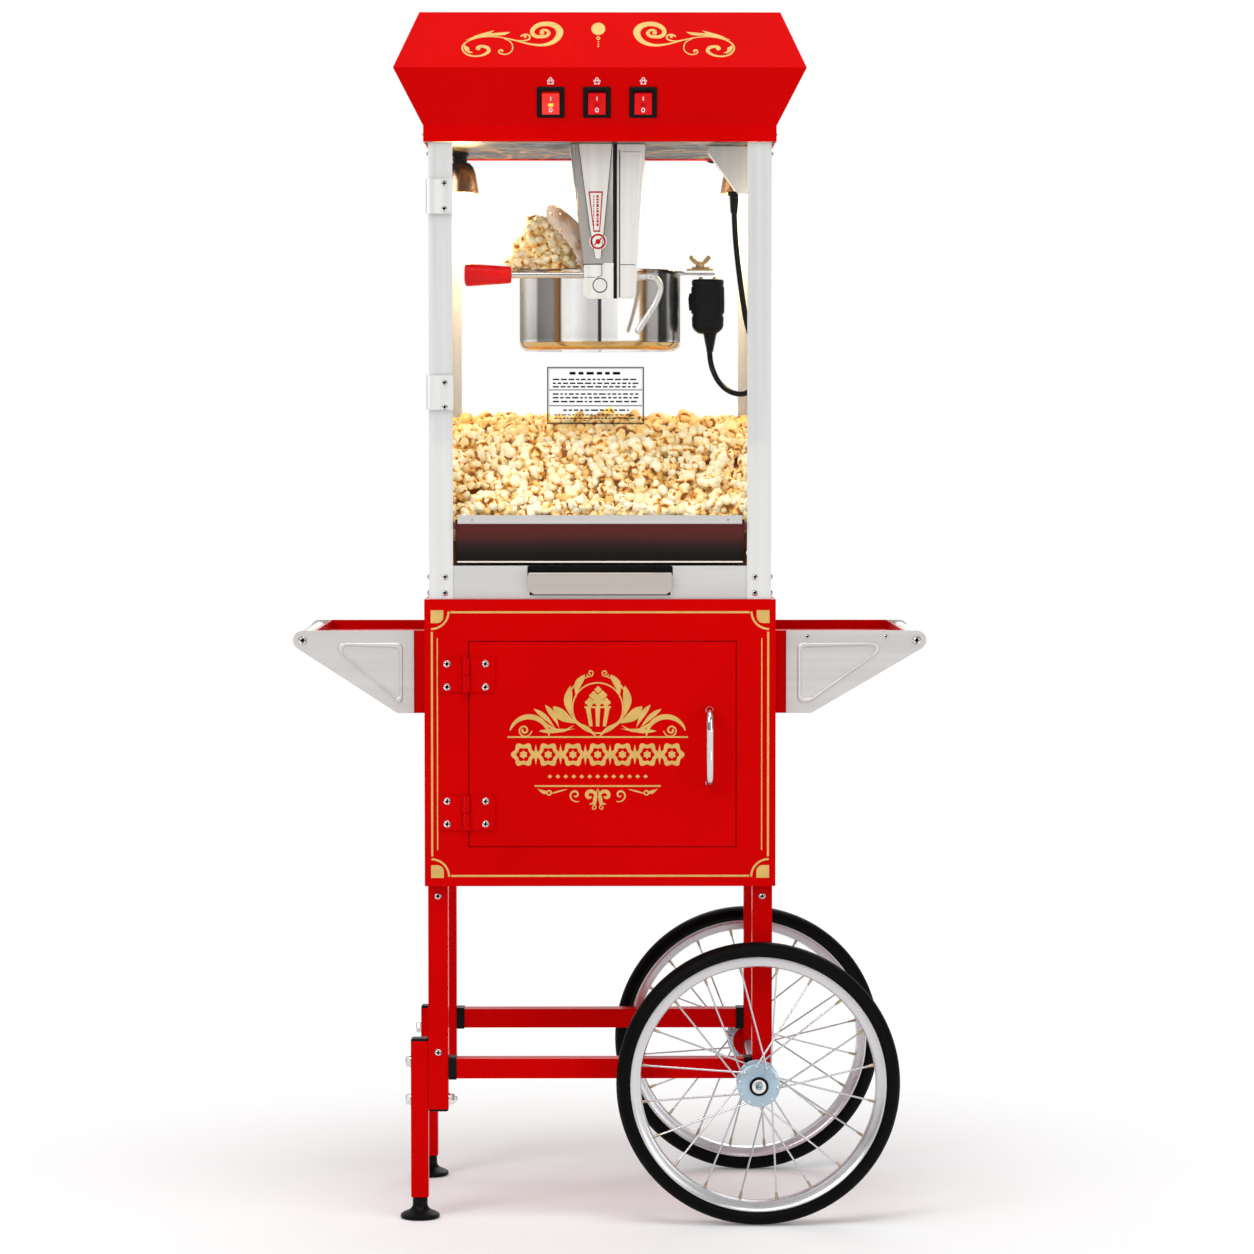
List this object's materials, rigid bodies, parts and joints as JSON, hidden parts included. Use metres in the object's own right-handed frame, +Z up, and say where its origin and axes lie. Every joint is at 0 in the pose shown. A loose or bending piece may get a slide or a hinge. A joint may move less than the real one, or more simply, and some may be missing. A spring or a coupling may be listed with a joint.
{
  "type": "popcorn maker",
  "caption": "Kettle popcorn machine in a glazed cabinet on a steel cart with a cupboard, side trays, spoked wheels and levelling feet.",
  "frame": {"origin": "on the floor, under the middle of the overall box of the cart and its two trays", "axes": "+Z up, -Y towards the person who is served, +X towards the wheels and the longer tray"},
  "size_m": [0.7964, 0.458, 1.514],
  "materials": {
    "painted_red": "gloss red powder coat",
    "brushed_aluminium": "satin, brushed along its length",
    "polished_steel": "polished stainless sheet",
    "chrome": "mirror",
    "zinc_plate": "bright zinc plating, slightly blue",
    "black_plastic": "fine matt",
    "rubber_tyre": "matt rubber with a light tread",
    "lead_sheath": "smooth black sheath",
    "tinted_acrylic": "clear, tinted dark red-brown",
    "clear_window": "clear and polished",
    "red_plastic": "smooth moulded",
    "lit_red_plastic": "translucent, lit from behind"
  },
  "bodies": {
    "cart": {"cart_cabinet": "painted_red", "cart_hinge_upper": "painted_red", "cart_hinge_lower": "painted_red", "left_tray": "painted_red", "right_tray": "painted_red", "canopy": "painted_red", "front_left_leg": "painted_red", "front_right_leg": "painted_red", "front_rail": "painted_red", "front_leg_extension": "painted_red", "front_left_post": "brushed_aluminium", "front_right_post": "brushed_aluminium", "back_left_leg": "painted_red", "back_right_leg": "painted_red", "back_rail": "painted_red", "back_leg_extension": "painted_red", "back_left_post": "brushed_aluminium", "back_right_post": "brushed_aluminium", "left_tray_front_bracket": "brushed_aluminium", "left_tray_back_bracket": "brushed_aluminium", "left_tray_handle_bar": "brushed_aluminium", "left_window": "clear_window", "left_lamp": "polished_steel", "right_tray_front_bracket": "brushed_aluminium", "right_tray_back_bracket": "brushed_aluminium", "right_tray_handle_bar": "brushed_aluminium", "right_window": "clear_window", "right_lamp": "polished_steel", "axle": "zinc_plate", "base_frame": "brushed_aluminium", "lead_outlet_box": "brushed_aluminium", "kettle_hanger": "brushed_aluminium", "back_window": "clear_window", "ceiling_plate": "polished_steel", "agitator_motor": "black_plastic", "kettle_lead": "lead_sheath"},
    "cupboard_door": {"cart_door": "painted_red", "cart_door_pull": "chrome"},
    "glass_door": {"glass_door": "clear_window", "glass_door_hinge_upper": "brushed_aluminium", "glass_door_hinge_lower": "brushed_aluminium"},
    "serving_flap": {"serving_flap": "tinted_acrylic"},
    "kernel_drawer": {"kernel_drawer": "brushed_aluminium"},
    "kettle": {"kettle_pot": "polished_steel", "kettle_lid": "polished_steel", "kettle_handle_rod": "polished_steel", "kettle_handle_grip": "red_plastic", "kettle_plug": "black_plastic"},
    "lid_flap": {"kettle_lid_flap": "polished_steel"},
    "latch": {"kettle_latch": "polished_steel"},
    "agitator": {"agitator": "polished_steel"},
    "front_wheel": {"front_tyre": "rubber_tyre", "front_spoked_wheel": "zinc_plate"},
    "back_wheel": {"back_tyre": "rubber_tyre", "back_spoked_wheel": "zinc_plate"},
    "heat_switch": {"heat_switch_rocker": "lit_red_plastic"},
    "motor_switch": {"motor_switch_rocker": "red_plastic"},
    "lamp_switch": {"lamp_switch_rocker": "red_plastic"},
    "front_levelling_foot": {"front_foot": "black_plastic"},
    "back_levelling_foot": {"back_foot": "black_plastic"}
  },
  "joints": [
    {"name": "cupboard_door_hinge", "type": "hinge", "parent": "cart", "child": "cupboard_door", "pos_m": [-0.17975, -0.1845, 0.6], "axis": [0, 0, -1], "range_deg": [0, 110]},
    {"name": "glass_door_hinge", "type": "hinge", "parent": "cart", "child": "glass_door", "pos_m": [-0.22575, -0.179, 1.16], "axis": [0, 0, -1], "range_deg": [0, 120]},
    {"name": "serving_flap_hinge", "type": "hinge", "parent": "cart", "child": "serving_flap", "pos_m": [-0.01225, -0.165, 0.83], "axis": [1, 0, 0], "range_deg": [0, 45]},
    {"name": "kernel_drawer_slide", "type": "slide", "parent": "cart", "child": "kernel_drawer", "axis": [0, -1, 0], "range_m": [0, 0.2]},
    {"name": "kettle_tilt", "type": "hinge", "parent": "cart", "child": "kettle", "pos_m": [-0.01225, 0, 1.178], "axis": [0, -1, 0], "range_deg": [0, 95], "deforming": ["kettle_lead"]},
    {"name": "lid_flap_hinge", "type": "hinge", "parent": "kettle", "child": "lid_flap", "pos_m": [-0.02005, -0.0018, 1.203], "axis": [-0.225, 0.9744, 0], "range_deg": [-54, 30]},
    {"name": "latch_pivot", "type": "hinge", "parent": "cart", "child": "latch", "pos_m": [0.03375, -0.1113, 1.188], "axis": [0, -1, 0], "range_deg": [0, 30]},
    {"name": "agitator_turn", "type": "hinge", "parent": "kettle", "child": "agitator", "pos_m": [-0.01225, 0, 1.15], "axis": [0, 0, 1], "continuous": true},
    {"name": "front_wheel_turn", "type": "hinge", "parent": "cart", "child": "front_wheel", "pos_m": [0.18575, -0.2, 0.178], "axis": [0, 1, 0], "continuous": true},
    {"name": "back_wheel_turn", "type": "hinge", "parent": "cart", "child": "back_wheel", "pos_m": [0.18575, 0.2, 0.178], "axis": [0, 1, 0], "continuous": true},
    {"name": "heat_switch_rock", "type": "hinge", "parent": "cart", "child": "heat_switch", "pos_m": [-0.07335, -0.19449, 1.402], "axis": [1, 0, 0], "range_deg": [-16, 0]},
    {"name": "motor_switch_rock", "type": "hinge", "parent": "cart", "child": "motor_switch", "pos_m": [-0.01595, -0.19449, 1.402], "axis": [1, 0, 0], "range_deg": [-16, 0]},
    {"name": "lamp_switch_rock", "type": "hinge", "parent": "cart", "child": "lamp_switch", "pos_m": [0.04145, -0.19449, 1.402], "axis": [1, 0, 0], "range_deg": [-16, 0]},
    {"name": "front_foot_screw", "type": "slide", "parent": "cart", "child": "front_levelling_foot", "axis": [0, 0, 1], "range_m": [-0.02, 0]},
    {"name": "back_foot_screw", "type": "slide", "parent": "cart", "child": "back_levelling_foot", "axis": [0, 0, 1], "range_m": [-0.02, 0]}
  ]
}
